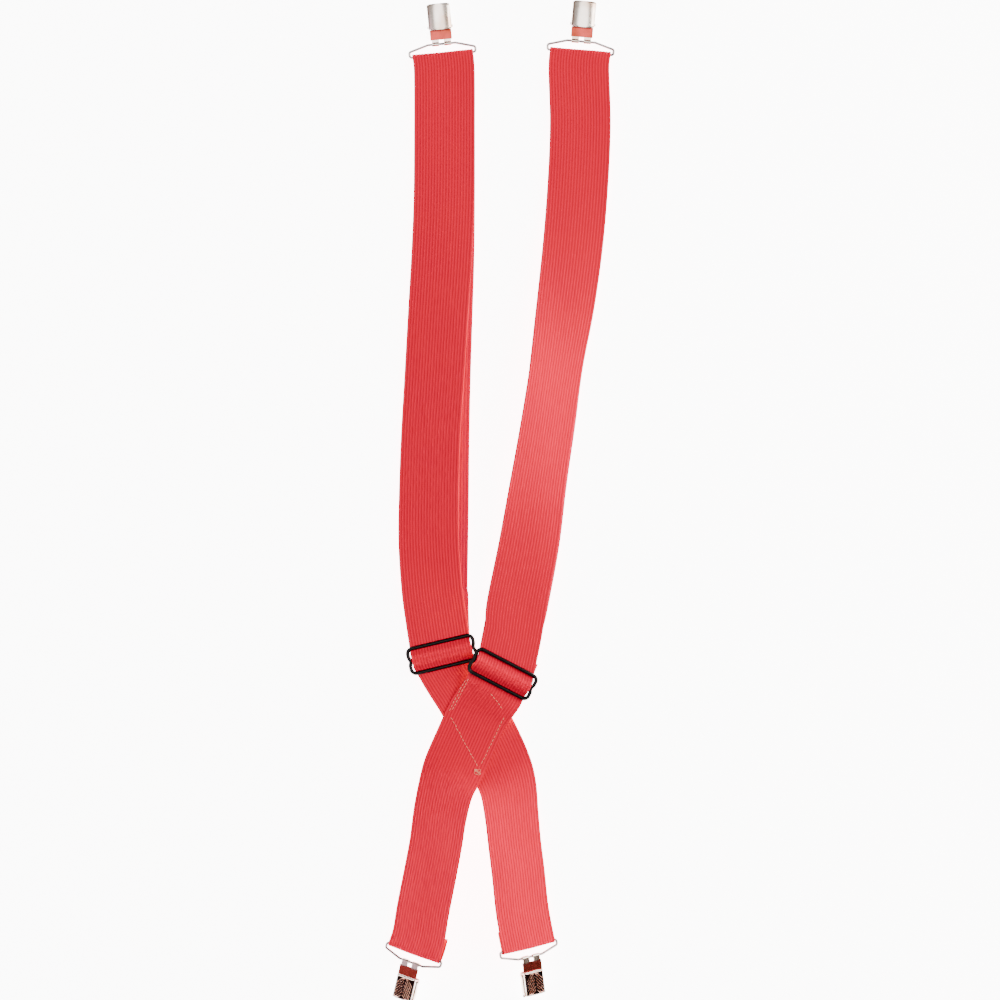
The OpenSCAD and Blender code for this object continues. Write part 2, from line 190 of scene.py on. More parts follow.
def webbing_material(name, main, streak_and_groove_shade, warm):
    """Ribbed elastic: u runs across the strap and v along it, both in metres."""
    material, tree, shader = new_material(name, Roughness=0.78, Sheen_Weight=0.06, Sheen_Roughness=0.45)
    shader.inputs["Sheen Tint"].default_value = (1.0, 0.2, 0.25, 1)
    shader.inputs["Specular IOR Level"].default_value = 0.06
    uv = node(tree, "UVMap").outputs[0]
    axes = node(tree, "SeparateXYZ", {0: uv})
    u, v = axes.outputs[0], axes.outputs[1]
    turns = 2 * math.pi * RIBS / WEB_W
    rib = math_node(tree, "COSINE", math_node(tree, "MULTIPLY", u, turns))
    rib = math_node(tree, "MULTIPLY_ADD", rib, -0.5)
    rib.node.inputs[2].default_value = 0.5
    yarn_v = math_node(tree, "SINE", math_node(tree, "MULTIPLY", v, 2 * math.pi / (0.9 * MM)))
    yarn_u = math_node(tree, "SINE", math_node(tree, "MULTIPLY", u, 4 * turns))
    weave = math_node(tree, "MULTIPLY", yarn_v, yarn_u)
    fuzz = noise(tree, uv, 2600.0)
    streak = noise(tree, node(tree, "Mapping", {0: uv, "Scale": (900.0, 22.0, 1.0)}).outputs[0], 1.0)
    blotch = noise(tree, uv, 26.0, 2.0)
    # painted shade: the grooves between the ribs are mixed towards the darker red
    colour = mix_colour(tree, math_node(tree, "MULTIPLY", rib, 0.75), main, streak_and_groove_shade)
    colour = mix_colour(tree, math_node(tree, "MULTIPLY", blotch, 0.34), colour, warm)
    colour = mix_colour(tree, math_node(tree, "MULTIPLY", streak, 0.3), colour, streak_and_groove_shade)
    tree.links.new(colour, shader.inputs["Base Color"])
    rough = node(tree, "MapRange", {0: fuzz, 3: 0.68, 4: 0.9}).outputs[0]
    tree.links.new(rough, shader.inputs["Roughness"])
    bumps(tree, shader, [(weave, 0.35, 0.00012), (fuzz, 0.3, 0.00015)])
    return material


def metal_material(name, colour, dark, roughness):
    material, tree, shader = new_material(name, Metallic=1.0, Roughness=roughness)
    place = node(tree, "TexCoord").outputs["Object"]
    wear = noise(tree, place, 260.0, 6.0)
    grain = noise(tree, node(tree, "Mapping", {0: place, "Scale": (4200.0, 260.0, 260.0)}).outputs[0], 1.0)
    cloud = noise(tree, place, 70.0, 2.0)
    tint = mix_colour(tree, node(tree, "MapRange", {0: cloud, 1: 0.42, 2: 0.68}).outputs[0], colour, dark)
    tree.links.new(tint, shader.inputs["Base Color"])
    rough = node(tree, "MapRange", {0: wear, 3: roughness * 0.6, 4: roughness * 1.8}).outputs[0]
    tree.links.new(rough, shader.inputs["Roughness"])
    bumps(tree, shader, [(grain, 0.08, 0.00008), (cloud, 0.15, 0.0004)])
    return material


def lacquer_material():
    material, tree, shader = new_material("black_lacquer", Roughness=0.16, IOR=1.22)
    place = node(tree, "TexCoord").outputs["Object"]
    chips = noise(tree, place, 900.0, 4.0)
    orange_peel = noise(tree, place, 700.0, 2.0)
    chipped = node(tree, "MapRange", {0: chips, 1: 0.68, 2: 0.74}).outputs[0]
    colour = mix_colour(tree, chipped, (0.002, 0.0015, 0.002, 1), (0.03, 0.02, 0.02, 1))
    tree.links.new(colour, shader.inputs["Base Color"])
    rough = node(tree, "MapRange", {0: orange_peel, 3: 0.1, 4: 0.3}).outputs[0]
    tree.links.new(rough, shader.inputs["Roughness"])
    bumps(tree, shader, [(orange_peel, 0.12, 0.0002)])
    return material


def thread_material():
    material, tree, shader = new_material("thread", Roughness=0.6, Sheen_Weight=0.4)
    place = node(tree, "TexCoord").outputs["Object"]
    ply = node(tree, "TexWave", {"Vector": place, "Scale": 900.0, "Distortion": 1.0},
               bands_direction="DIAGONAL")
    colour = mix_colour(tree, ply.outputs[1], (1.0, 0.24, 0.14, 1), (1.0, 0.44, 0.30, 1))
    tree.links.new(colour, shader.inputs["Base Color"])
    bumps(tree, shader, [(ply.outputs[1], 0.5, 0.0001)])
    return material


def floor_material():
    material, tree, shader = new_material("paper", Roughness=0.9)
    place = node(tree, "TexCoord").outputs["Object"]
    fibre = noise(tree, place, 300.0, 4.0)
    white = mix_colour(tree, fibre, (0.97, 0.97, 0.97, 1), (1.0, 1.0, 1.0, 1))
    tree.links.new(white, shader.inputs["Base Color"])
    tree.links.new(white, shader.inputs["Emission Color"])
    shader.inputs["Emission Strength"].default_value = 10.0
    bumps(tree, shader, [(fibre, 0.05, 0.0003)])
    return material


MAIN_RED = (0.94, 0.0, 0.055, 1)
# darker red painted into the rib grooves as shade; the random streaks along the yarn use it too
STREAK_AND_GROOVE_SHADE_RED = (0.55, 0.0, 0.02, 1)
WARM_RED = (0.95, 0.015, 0.03, 1)
WEBBING = webbing_material("webbing_red", MAIN_RED, STREAK_AND_GROOVE_SHADE_RED, WARM_RED)
# painted shade: a darker crimson copy of the webbing for the layer under the raised front layer, standing for
# the shadow that layer casts
WEBBING_PAINTED_SHADE = webbing_material("webbing_red_painted_shade", (0.74, 0.0, 0.075, 1), (0.4, 0.0, 0.04, 1), MAIN_RED)
NICKEL = metal_material("nickel", (0.90, 0.82, 0.76, 1), (0.66, 0.48, 0.38, 1), 0.14)
STEEL_WIRE = metal_material("wire_nickel", (0.42, 0.38, 0.38, 1), (0.16, 0.13, 0.13, 1), 0.2)
# painted dark reflection: the jaw plate's nickel is made near black for the dark surroundings it reflects
NICKEL_PAINTED_DARK_REFLECTION = metal_material("jaw_nickel_painted_dark_reflection", (0.030, 0.010, 0.010, 1), (0.008, 0.003, 0.003, 1), 0.24)
# painted reflection: nickel tinted red for the red webbing it reflects
NICKEL_PAINTED_RED_REFLECTION = metal_material("nickel_painted_webbing_reflection", (0.40, 0.055, 0.045, 1), (0.26, 0.04, 0.02, 1), 0.2)
# painted glint: the nickel ridges of the jaw plate are coloured bright copper for the highlights on their
# tops
RIDGE_PAINTED_GLINT = metal_material("jaw_ridges", (0.85, 0.52, 0.42, 1), (0.60, 0.30, 0.22, 1), 0.22)
LACQUER = lacquer_material()
THREAD = thread_material()


# ---------------------------------------------------------------- places, as in the CAD model

# Ends: x, y, z of the strap bar, heading, roll, clip pitch, 1 where the clip lies face down
ENDS = {
    "front_left": (-47, 364, 2.95, 5.5, 0, 0, 0),
    "front_right": (66, 366, 2.95, -5, 0, 0, 0),
    "back_left": (-70, -372, 15.3, 162.5, 30, -8, 1),
    "back_right": (23, -367, 15.3, 191.5, -30, -8, 1),
}
# Adjusters: x, y, z of the centre bar, heading, roll, skew above, skew below, skew of the hem
SLIDES = {
    "left": (-47.6, -128.4, 6.5, 13.4, 0, 0.08, -0.3, 0.2),
    "right": (2.2, -144.3, 11.6, -27.6, 8, -0.28, -0.05, -0.3),
}
# Route points: x, y, z, roll
FRONT_ROUTES = {
    "left": [
        (-56, -74, 5, 2), (-58.5, -37, 6, 6), (-58.5, 0, 8, 11),
        (-57, 49, 9, 13), (-54, 98, 8, 11), (-51, 148, 7, 8),
        (-48, 197, 5.5, 4), (-46, 246, 5, 2), (-45.5, 307, 4.6, 0)],
    "right": [
        (14, -86, 11.2, -8), (23.5, -37, 11, -14), (31, 12, 15, -25),
        (39, 62, 17.3, -30), (46.5, 111, 17.3, -30), (54, 160, 13, -18),
        (60, 209, 8, -8), (64, 258, 5.4, -2), (66, 307, 4.8, 0)],
}
RETURN_ROUTES = {
    "left": [
        (-51.5, -74, 1.5, 0.2), (-51, -37, 1.7, 0.5), (-50.5, 0, 1.8, 0.8),
        (-50, 49, 1.9, 1), (-49, 98, 1.8, 0.8), (-47.5, 148, 1.7, 0.6),
        (-46, 197, 1.6, 0.4), (-45.5, 246, 1.5, 0.2), (-45.5, 307, 1.3, 0)],
    "right": [
        (15, -86, 7.8, -8), (24.5, -37, 7.8, -13), (32, 12, 11.8, -24),
        (40, 62, 14, -29), (46.5, 111, 14, -29), (54, 160, 9.7, -17),
        (60, 209, 4.8, -8), (64, 258, 2.2, -2), (66, 307, 1.5, 0)],
}
CROSS_ROUTES = {
    "left": [
        (-29.5, -160, 1.4, 0), (-19, -179, 0.9, 0), (-8, -200, 0.9, 0),
        (0, -218, 1.2, 2), (6.5, -237, 8.8, 20), (9.5, -259, 13, 28),
        (12, -283, 14.4, 30), (15, -307, 14.8, 30), (18, -335, 15.8, 30)],
    "right": [
        (-12.5, -169, 5.4, 2), (-19, -179, 2.9, 0), (-29, -201, 2.3, 0),
        (-37, -219, 3.6, -4), (-44, -237, 10.8, -23), (-49, -259, 13.2, -28),
        (-52.5, -283, 14.4, -30), (-57, -307, 14.8, -30), (-63, -337, 15.8, -30)],
}
BACK_END = {"left": "back_right", "right": "back_left"}
UP = np.array([0.0, 0.0, 1.0])


def unit(v):
    return v / np.linalg.norm(v)


def across(f):
    heading, roll = math.radians(f[3]), math.radians(f[4])
    return np.array([math.cos(heading) * math.cos(roll), math.sin(heading) * math.cos(roll), -math.sin(roll)])


def along(f):
    return np.array([-math.sin(math.radians(f[3])), math.cos(math.radians(f[3])), 0.0])


def above(f):
    return np.cross(across(f), along(f))


def place(f, x, y, z):
    """A point given in metres in the frame of an end or an adjuster."""
    return np.array(f[:3]) * MM - ORIGIN + x * across(f) + y * along(f) + z * above(f)


def skew(f, y, hem=False):
    return max(abs(y) - 6 * MM, 0) * (f[7] if hem else f[5] if y > 0 else -f[6])


def weave_z(y):
    if abs(y) > SLIDE_GAP / 2:
        return -WEAVE_LOW
    wave = math.cos(math.pi * y / (SLIDE_GAP / 2))
    return (WEAVE_HIGH - WEAVE_LOW) / 2 + (WEAVE_HIGH + WEAVE_LOW) / 2 * wave


# ---------------------------------------------------------------- the webbings' centre lines
# A ring is (centre, side, normal, width). Rings run along the webbing.

def spline(points, step):
    """A smooth curve through all the points, with a ring about every step metres."""
    p = np.array(points, float)
    out = []
    for i in range(len(p) - 1):
        a, b, c, d = p[max(i - 1, 0)], p[i], p[i + 1], p[min(i + 2, len(p) - 1)]
        n = max(2, round(np.linalg.norm((c - b)[:3]) / step))
        for t in np.arange(n) / n:
            out.append(0.5 * (2 * b + (c - a) * t + (2 * a - 5 * b + 4 * c - d) * t**2
                              + (3 * b - a - 3 * c + d) * t**3))
    return np.array(out + [p[-1]])


def route_rings(slide, start, route, end, layer, first_side, step=2.6 * MM):
    """Rings from an adjuster along a route to an end, as the CAD band has them."""
    roll = 0 if slide[3] > 0 else -slide[4]
    points = [(*start, roll, WEAVE_W)]
    last_span = 14 * MM
    seam_gap = 0.1 * MM
    points += [(*(np.array(p[:3]) * MM - ORIGIN), p[3], WEB_W) for p in route]
    points += [(*place(end, 0, y, layer), -end[4], WEB_W) for y in (-last_span, -seam_gap)]
    curve = spline(points, step)
    length = np.concatenate([[0], np.cumsum(np.linalg.norm(np.diff(curve[:, :3], axis=0), axis=1))])
    first_span = np.linalg.norm(np.array(points[1][:3]) - np.array(points[0][:3]))
    rings = []
    for i, q in enumerate(curve):
        t = unit(curve[min(i + 1, len(curve) - 1)][:3] - curve[max(i - 1, 0)][:3])
        own = unit(np.cross(t, UP)) * math.cos(math.radians(q[3])) + UP * math.sin(math.radians(q[3]))
        k = min(length[i] / first_span, 1)
        e = min((length[-1] - length[i]) / last_span, 1)
        side = unit(unit(own * k + first_side * (1 - k)) * e + across(end) * (1 - e))
        rings.append((q[:3], side, unit(np.cross(side, t)), q[4]))
    return rings


def flipped(rings):
    """The same band, walked the other way and seen from its other face."""
    return [(c, s, -n, w) for c, s, n, w in reversed(rings)]


def stretch_rings(slide, ys, level, width=WEAVE_W):
    rings = []
    step = 0.2 * MM
    for y in ys:
        ahead, behind = (place(slide, skew(slide, v), v, level(v)) for v in (y + step, y - step))
        s = across(slide)
        normal = unit(np.cross(s, unit(ahead - behind)))
        rings.append((place(slide, skew(slide, y), y, level(y)), s, normal, width))
    return rings


def fold_rings(end):
    """Half a turn round the strap bar, from the front layer to the layer behind it."""
    rings = []
    for angle in np.radians(np.linspace(80, -80, 17)):
        normal = math.cos(angle) * along(end) + math.sin(angle) * above(end)
        rings.append((place(end, 0, 0, 0) + LAYER_Z * normal, across(end), normal, WEB_W))
    return rings


def tail_rings(leg):
    """The sewn-back end, lying behind the last stretch of its own leg."""
    rings, length = [], 0.0
    for i in range(len(leg) - 2, 0, -1):
        c, s, n, w = leg[i]
        length += np.linalg.norm(c - leg[i + 1][0])
        if length > TAIL_LEN:
            break
        rings.append((c - 2 * LAYER_Z * n - s * 0.7 * MM, s, -n, w))
    return rings


def loop_rings(slide):
    """The sewn end: in under the hem, round the centre bar and back on top of itself."""
    low, high = HEM_Z - WEB_T / 2, HEM_Z + WEB_T / 2
    path = [(y, low) for y in np.linspace(HEM_LEN, 9 * MM, 9)]
    path += [(6 * MM, low + 0.7 * MM), (3 * MM, -LOOP_R - 0.6 * MM)]
    path += [(LOOP_R * math.cos(a), LOOP_R * math.sin(a)) for a in np.radians(np.linspace(270, 40, 19))]
    path += [(4 * MM, -1.2 * MM), (7 * MM, high + 0.5 * MM)]
    path += [(y, high) for y in np.linspace(9 * MM, 20 * MM, 9)]
    points = [place(slide, skew(slide, y, hem=True), y, z) for y, z in path]
    # the cut end of the right strap peeks out beside the front layer
    for k, (y, _) in enumerate(path[-9:]):
        if slide[4]:
            points[k - 9] = points[k - 9] + across(slide) * 0.2 * (y - 9 * MM)
    rings = []
    for i, c in enumerate(points):
        t = unit(points[min(i + 1, len(points) - 1)] - points[max(i - 1, 0)])
        rings.append((c, across(slide), unit(np.cross(t, across(slide))), WEAVE_W - 0.6 * MM))
    return rings


# ---------------------------------------------------------------- webbing meshes

def rib_profile():
    """Half thickness of the ribbed webbing across its width: ribs between two smooth selvedges."""
    per_rib = 6
    u = np.linspace(-0.5, 0.5, RIBS * per_rib + 1)
    edge = 1.1 / 50
    rib = 0.5 - 0.5 * np.cos(2 * math.pi * RIBS * (u + 0.5))
    inside = np.clip((0.5 - np.abs(u) - edge) / 0.02, 0, 1)
    half = WEB_T / 2 - 0.26 * MM * (1 - rib) * inside
    round_off = np.clip((0.5 - np.abs(u)) / 0.008, 0, 1)
    return u, half * np.sqrt(0.25 + 0.75 * round_off)


def webbing(name, rings, ripple=0.25 * MM, seed=0, behind=0):
    """A ribbed band over the rings; from ring number behind on it has the shaded colour."""
    u, half = rib_profile()
    us = np.concatenate([u, u[::-1]])
    hs = np.concatenate([half, -half[::-1]])
    length = 0.0
    verts, lengths = [], []
    for i, (c, s, n, w) in enumerate(rings):
        if i:
            length += np.linalg.norm(c - rings[i - 1][0])
        wave = ripple * math.sin(length / (19 * MM) + seed) * math.sin(length / (41 * MM) + 2 * seed)
        twist = ripple * 0.6 * np.sin(2 * math.pi * us + length / (33 * MM) + seed)
        bow = wave * np.cos(math.pi * us) + twist
        verts.append(c + np.outer(us * w, s) + np.outer(hs + bow, n))
        lengths.append(length)
    m, count = len(us), len(rings)
    points = np.concatenate(verts)
    i, j = np.meshgrid(np.arange(count - 1), np.arange(m), indexing="ij")
    j2 = (j + 1) % m
    quads = np.stack([i * m + j, i * m + j2, (i + 1) * m + j2, (i + 1) * m + j], -1).reshape(-1, 4)
    mid = m // 2
    caps = [(k + 1, k, m - 1 - k, m - 2 - k) for k in range(mid - 1)]
    ends = [tuple(reversed([v + (count - 1) * m for v in cap])) for cap in caps]
    mesh = bpy.data.meshes.new(name)
    mesh.from_pydata(points.tolist(), [], quads.tolist() + caps + ends)
    uv = mesh.uv_layers.new(name="UVMap")
    loop_vertex = np.empty(len(mesh.loops), int)
    mesh.loops.foreach_get("vertex_index", loop_vertex)
    uv.data.foreach_set("uv", np.stack([us[loop_vertex % m] * WEB_W,
                                        np.array(lengths)[loop_vertex // m]], -1).ravel())
    mesh.shade_smooth()
    mesh.materials.append(WEBBING)
    mesh.materials.append(WEBBING_PAINTED_SHADE)
    if behind:
        for polygon in mesh.polygons:
            polygon.material_index = int(polygon.vertices[0] // m >= behind)
    made = bpy.data.objects.new(name, mesh)
    bpy.context.collection.objects.link(made)
    return made


def build_strap(side):
    slide, other = SLIDES[side], BACK_END[side]
    front_end, back_end = ENDS["front_" + side], ENDS[other]
    down = WEAVE_END + 2 * 0.3 * MM
    start = place(slide, skew(slide, -down), -down, -WEAVE_LOW)
    lower = route_rings(slide, start, CROSS_ROUTES[side], back_end, LAYER_Z, -across(slide))
    woven = stretch_rings(slide, np.linspace(-WEAVE_END, 0, 22), weave_z)
    # walked from the back clip up to the adjuster, so the two parts share one direction
    up_leg = [(c, -s, n, w) for c, s, n, w in reversed(lower)]
    back_fold = [(c, -s, n, w) for c, s, n, w in reversed(fold_rings(back_end))]
    tail = [(c, -s, n, w) for c, s, n, w in reversed(tail_rings(lower))]
    lower_piece = webbing(side + "_strap_back", tail + back_fold + up_leg[1:] + woven, seed=1.0)
    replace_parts(lower_piece, side + "_lower_webbing", other + "_fold", other + "_tail")
    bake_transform(lower_piece)

    start_y = WEAVE_END + SLACK_LEN
    up_half = stretch_rings(slide, np.linspace(0, WEAVE_END, 22), weave_z)
    front = route_rings(slide, place(slide, skew(slide, start_y), start_y, -WEAVE_LOW),
                        FRONT_ROUTES[side], front_end, LAYER_Z, across(slide))
    hem_y = HEM_LEN + SLACK_LEN
    back = flipped(route_rings(slide, place(slide, skew(slide, hem_y, hem=True), hem_y, HEM_Z),
                               RETURN_ROUTES[side], front_end, -LAYER_Z, across(slide)))
    fold = fold_rings(front_end)
    # from the fold on, the layer behind takes the painted shade colour
    upper_piece = webbing(side + "_strap_front", up_half + front + fold + back + loop_rings(slide),
                          seed=2.5, behind=len(up_half) + len(front) + len(fold))
    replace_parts(upper_piece, side + "_front_webbing", side + "_return_webbing", side + "_woven_webbing",
                side + "_front_slack", side + "_return_slack", side + "_sewn_loop", "front_" + side + "_fold")
    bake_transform(upper_piece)
    return lower_piece, upper_piece


STRAPS = [piece for side in SLIDES for piece in build_strap(side)]


# ---------------------------------------------------------------- wires

def new_object(name, verts, faces, material):
    mesh = bpy.data.meshes.new(name)
    mesh.from_pydata(verts, [], faces)
    mesh.shade_smooth()
    mesh.materials.append(material)
    made = bpy.data.objects.new(name, mesh)
    bpy.context.collection.objects.link(made)
    return made


def rounded(points, steps=9):
    """A path through [x, y, bend radius] points with its corners rounded."""
    out = [np.array(points[0][:2])]
    for a, b, c in zip(points, points[1:], points[2:]):
        a2, b2, c2 = (np.array(p[:2]) for p in (a, b, c))
        u, v = unit(b2 - a2), unit(c2 - b2)
        angle = math.atan2(u[0] * v[1] - u[1] * v[0], u @ v)
        side = 1 if angle > 0 else -1
        start = b2 - u * b[2] * math.tan(abs(angle) / 2)
        centre = start + side * b[2] * np.array([-u[1], u[0]])
        d = start - centre
        for k in range(steps + 1):
            co, si = math.cos(angle * k / steps), math.sin(angle * k / steps)
            out.append(centre + np.array([d[0] * co - d[1] * si, d[0] * si + d[1] * co]))
    return out + [np.array(points[-1][:2])]


def wire(name, f, path, r, material, sides=20):
    """A closed loop of round wire in the plane of a frame."""
    across_f, along_f, above_f = across(f), along(f), above(f)
    # long straight runs get extra rings
    p = []
    for a, b in zip(path, path[1:] + path[:1]):
        n = max(1, int(np.linalg.norm(b - a) / (2.5 * MM)))
        p += [a + (b - a) * k / n for k in range(n)]
    verts = []
    for i, c in enumerate(p):
        t = unit(p[(i + 1) % len(p)] - p[i - 1])
        m = t[1] * across_f - t[0] * along_f
        origin = place(f, c[0], c[1], 0)
        for k in range(sides):
            angle = 2 * math.pi * k / sides
            verts.append(origin + r * (math.cos(angle) * m + math.sin(angle) * above_f))
    count = len(p)
    faces = [(i * sides + k, i * sides + (k + 1) % sides, (i + 1) % count * sides + (k + 1) % sides,
              (i + 1) % count * sides + k) for i in range(count) for k in range(sides)]
    return new_object(name, [tuple(v) for v in verts], faces, material)


def build_bail(end):
    half, neck, bend = BAIL_W / 2, 11.5 * MM, 1.8 * MM
    right = [(0, 0, 0), (half, 0, bend), (half, BAIL_H / 2, bend), (neck, BAIL_H, bend), (0, BAIL_H, 0)]
    one = rounded(right)
    other = [np.array([-p[0], p[1]]) for p in reversed(one[1:-1])]
    made = wire(end + "_bail_wire", ENDS[end], one + other, BAIL_R, STEEL_WIRE)
    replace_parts(made, end + "_bail")
    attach(made, end + "_bail")


def build_adjuster(side):
    x, y, r, waist = SLIDE_HALF, SLIDE_GAP / 2, 4 * MM, 1.2 * MM
    right = [(0, -y, 0), (x, -y, r), (x, -3.4 * MM, 2 * MM), (x - waist, 0, 2 * MM), (x, 3.4 * MM, 2 * MM),
             (x, y, r), (0, y, 0)]
    one = rounded(right)
    other = [np.array([-p[0], p[1]]) for p in reversed(one[1:-1])]
    made = wire(side + "_adjuster_wire", SLIDES[side], one + other, SLIDE_R, LACQUER, 24)
    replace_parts(made, side + "_adjuster_frame")
    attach(made, side + "_adjuster")


for end in ENDS:
    build_bail(end)
for side in SLIDES:
    build_adjuster(side)


# ---------------------------------------------------------------- clips
# Clip shapes are given in millimetres in the clip's own frame: y towards the mouth, z to the lever side.
PIN_Y = 14
PIN_Z = 2.2
LEVER_HALF = 9.75


def clip_point(f, x, y, z):
    if f[6]:
        x, z = -x, -z
    co, si = math.cos(math.radians(f[5])), math.sin(math.radians(f[5]))
    return place(f, x * MM, BAIL_H + (y * co - z * si) * MM, (y * si + z * co) * MM)


def pressed(grid, thickness):
    """A sheet of metal over a grid of points, its back offset along the normals."""
    g = np.array(grid, float)
    du, dv = np.gradient(g, axis=1), np.gradient(g, axis=0)
    n = np.cross(du, dv)
    n /= np.maximum(np.linalg.norm(n, axis=2, keepdims=True), 1e-9)
    rows, cols = g.shape[:2]
    verts = np.concatenate([g.reshape(-1, 3), (g - n * thickness).reshape(-1, 3)])
    back = rows * cols
    faces = []
    for i in range(rows - 1):
        for j in range(cols - 1):
            a, b, c, d = i * cols + j, i * cols + j + 1, (i + 1) * cols + j + 1, (i + 1) * cols + j
            faces += [(a, b, c, d), (back + d, back + c, back + b, back + a)]
    rim = list(range(cols)) + [i * cols + cols - 1 for i in range(1, rows)]
    rim += [(rows - 1) * cols + j for j in range(cols - 2, -1, -1)]
    rim += [i * cols for i in range(rows - 2, 0, -1)]
    for a, b in zip(rim, rim[1:] + rim[:1]):
        faces.append((b, a, back + a, back + b))
    return verts.tolist(), faces


def slab(low, high):
    (x0, y0, z0), (x1, y1, z1) = low, high
    verts = [(x, y, z) for z in (z0, z1) for y in (y0, y1) for x in (x0, x1)]
    return verts, [(0, 2, 3, 1), (4, 5, 7, 6), (0, 1, 5, 4), (1, 3, 7, 5), (3, 2, 6, 7), (2, 0, 4, 6)]


def upright(outline, x0, x1):
    """A plate across the clip: an outline in y and z, from x0 to x1."""
    n = len(outline)
    verts = [(x0, y, z) for y, z in outline] + [(x1, y, z) for y, z in outline]
    faces = [tuple(range(n))[::-1], tuple(range(n, 2 * n))]
    faces += [(i, (i + 1) % n, n + (i + 1) % n, n + i) for i in range(n)]
    return verts, faces


def cross_bar(y, z, r, x0, x1, sides=20):
    return upright([(y + r * math.cos(2 * math.pi * k / sides), z + r * math.sin(2 * math.pi * k / sides))
                    for k in range(sides)], x0, x1)


def clip_piece(name, end, body, parts, material, bevel=0.14):
    verts, faces = [], []
    for v, f in parts:
        base = len(verts)
        verts += [tuple(clip_point(ENDS[end], *p)) for p in v]
        faces += [tuple(base + i for i in face) for face in f]
    made = new_object(end + name, verts, faces, material)
    edge = made.modifiers.new("edges", "BEVEL")
    edge.width, edge.segments = bevel * MM, 2
    edge.limit_method, edge.angle_limit = "ANGLE", math.radians(38)
    edge.harden_normals = True
    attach(made, end + body)
    return made


def lever_shell():
    """Domed cover with rounded corners and bent-down sides."""
    back, front = 11.5, 33
    corner = 1.6
    side_low, side_top = 1.0, 3.4
    arch = 30
    grid = []
    for y in np.linspace(back, front, 31):
        near = min(y - back, front - y)
        half = LEVER_HALF - corner * (1 - math.sqrt(1 - (1 - min(near / corner, 1)) ** 2))
        crown = 0.25 * math.sin(math.pi * (y - back) / (front - back))
        # the sides are cut away towards both ends
        drop = side_low if 14 < y < 29 else side_low + 2.2 * min(abs(y - (14 if y < 20 else 29)) / 1.5, 1)
        row = [(-half, drop), (-half, (drop + side_top) / 2), (-half, side_top)]
        row += [(-half + 0.18, 4.0), (-half + 0.65, 4.4)]
        row += [(x * half / LEVER_HALF, math.sqrt(arch**2 - x * x) - 24 + crown)
                for x in np.linspace(-8.2, 0, 9)]
        row += [(-x, z) for x, z in row[-2::-1]]
        grid.append([(x, y, z) for x, z in row])
    return pressed(grid, 0.7)


def rolled_tab(middle):
    """A strip of the base curled round the bail's clip bar."""
    r = 1.41
    path = [(y, -r) for y in (4.6, 3, 1.5)]
    path += [(r * math.cos(a), r * math.sin(a)) for a in np.radians(np.linspace(-90, -395, 22))]
    grid = [[(middle + x, y, z) for x in (-3, -1, 1, 3)] for y, z in path]
    return [pressed(grid, -0.35), pressed(grid, 0.33)]


def ear(side):
    """A side plate of the base, which carries the hinge pin."""
    outline = [(14, -1.7), (28, -1.7), (28, -0.4), (24.5, 2.6), (23, 3.1), (17, 3.3), (14.6, 3.5),
               (13.2, 3.1), (12.7, 2.2), (12.9, 1.2)]
    return upright(outline, side * 8.55 - 0.35, side * 8.55 + 0.35)


def ridge(side, y):
    """A slanting half-round ridge of the jaw plate."""
    slant = 1.19
    section = ((-0.42, 0), (-0.28, 0.34), (0, 0.5), (0.28, 0.34), (0.42, 0))
    path = [(side * x, y + slant * x) for x in np.linspace(0.5, 7.4, 6)]
    verts, faces = [], []
    for x, at_y in path:
        at_y = min(max(at_y, 14.0), 30.4)
        verts += [(x, at_y + w, -2.5 - h) for w, h in section]
    for i in range(len(path) - 1):
        for j in range(5):
            a, b = i * 5 + j, i * 5 + (j + 1) % 5
            faces.append((a, b, b + 5, a + 5) if side > 0 else (b, a, a + 5, b + 5))
    faces += [(4, 3, 2, 1, 0) if side > 0 else (0, 1, 2, 3, 4)]
    last = len(verts) - 5
    faces += [tuple(last + k for k in ((0, 1, 2, 3, 4) if side > 0 else (4, 3, 2, 1, 0)))]
    return verts, faces


